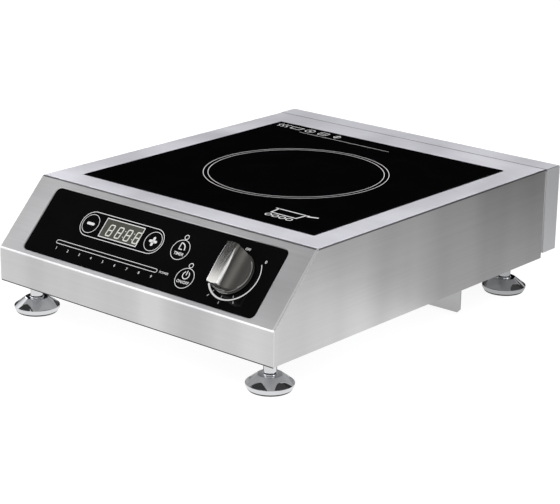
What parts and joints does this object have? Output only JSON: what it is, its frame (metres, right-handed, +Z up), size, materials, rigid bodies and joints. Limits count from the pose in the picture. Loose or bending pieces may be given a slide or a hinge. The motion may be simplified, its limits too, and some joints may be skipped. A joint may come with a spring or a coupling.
{
  "type": "induction hob",
  "caption": "Countertop induction hob with a steel case, black ceramic glass top, sloping touch panel with a rotary knob, and conical screw-adjusted feet.",
  "frame": {"origin": "centre of the footprint, on the surface that the feet stand on", "axes": "+X to the user's right, +Y from the control panel towards the rear, +Z up"},
  "size_m": [0.3424, 0.4462, 0.1231],
  "materials": {
    "case_steel": "fine brushed stainless steel",
    "bracket_steel": "plain zinc-plated sheet steel",
    "hob_glass": "opaque black ceramic glass, polished",
    "panel_glass": "opaque black printed panel glass, polished",
    "seal": "black silicone",
    "carrier_plastic": "moulded grey plastic",
    "display_plastic": "smoked display window",
    "circuit_board": "green solder mask",
    "plated_metal": "zinc plate",
    "knob_metal": "satin brushed",
    "mica": "mica laminate",
    "winding": "enamelled copper wire",
    "ferrite": "sintered ferrite, matt",
    "silicone": "white heat-conducting silicone",
    "black_plastic": "moulded black plastic",
    "capacitor_case": "epoxy case",
    "sink_aluminium": "extruded, plain",
    "foot_chrome": "bright chrome plate"
  },
  "bodies": {
    "chassis": {"top_cover": "case_steel", "rear_cover": "case_steel", "base_tray": "case_steel", "air_baffle": "case_steel", "glass_frame": "bracket_steel", "coil_bridge_front": "bracket_steel", "coil_bridge_rear": "bracket_steel", "glass_plate": "hob_glass", "glass_seal": "seal", "control_panel": "panel_glass", "panel_carrier": "carrier_plastic", "coil_carrier": "carrier_plastic", "terminal_block": "carrier_plastic", "display_module": "display_plastic", "control_board": "circuit_board", "power_board": "circuit_board", "encoder_body": "plated_metal", "encoder_nut": "plated_metal", "rear_screw_left": "plated_metal", "rear_screw_right": "plated_metal", "mica_sheet": "mica", "induction_coil": "winding", "choke_coil": "winding", "ferrite_bar_1": "ferrite", "ferrite_bar_2": "ferrite", "ferrite_bar_3": "ferrite", "ferrite_bar_4": "ferrite", "ferrite_bar_5": "ferrite", "ferrite_bar_6": "ferrite", "temp_sensor": "silicone", "rectifier": "black_plastic", "igbt_1": "black_plastic", "igbt_2": "black_plastic", "fan_frame": "black_plastic", "cable_gland": "black_plastic", "gland_nut": "black_plastic", "capacitor_1": "capacitor_case", "capacitor_2": "capacitor_case", "heatsink": "sink_aluminium", "foot_sleeve_fl": "foot_chrome", "foot_nut_fl": "plated_metal", "foot_sleeve_fr": "foot_chrome", "foot_nut_fr": "plated_metal", "foot_sleeve_rl": "foot_chrome", "foot_nut_rl": "plated_metal", "foot_sleeve_rr": "foot_chrome", "foot_nut_rr": "plated_metal"},
    "knob_assembly": {"knob": "knob_metal", "encoder_shaft": "plated_metal"},
    "fan_rotor": {"fan_rotor": "black_plastic"},
    "front_left_foot": {"foot_base_fl": "foot_chrome", "foot_stud_fl": "plated_metal"},
    "front_right_foot": {"foot_base_fr": "foot_chrome", "foot_stud_fr": "plated_metal"},
    "rear_left_foot": {"foot_base_rl": "foot_chrome", "foot_stud_rl": "plated_metal"},
    "rear_right_foot": {"foot_base_rr": "foot_chrome", "foot_stud_rr": "plated_metal"}
  },
  "joints": [
    {"name": "knob_turn", "type": "hinge", "parent": "chassis", "child": "knob_assembly", "pos_m": [0.1004, -0.19343, 0.0918], "axis": [0, 0.7216, -0.6923], "range_deg": [0, 300]},
    {"name": "fan_spin", "type": "hinge", "parent": "chassis", "child": "fan_rotor", "pos_m": [-0.085, -0.11113, 0.046], "axis": [0, 0, 1], "continuous": true},
    {"name": "front_left_foot_adjust", "type": "slide", "parent": "chassis", "child": "front_left_foot", "axis": [0, 0, -1], "range_m": [0, 0.012]},
    {"name": "front_right_foot_adjust", "type": "slide", "parent": "chassis", "child": "front_right_foot", "axis": [0, 0, -1], "range_m": [0, 0.012]},
    {"name": "rear_left_foot_adjust", "type": "slide", "parent": "chassis", "child": "rear_left_foot", "axis": [0, 0, -1], "range_m": [0, 0.012]},
    {"name": "rear_right_foot_adjust", "type": "slide", "parent": "chassis", "child": "rear_right_foot", "axis": [0, 0, -1], "range_m": [0, 0.012]}
  ]
}
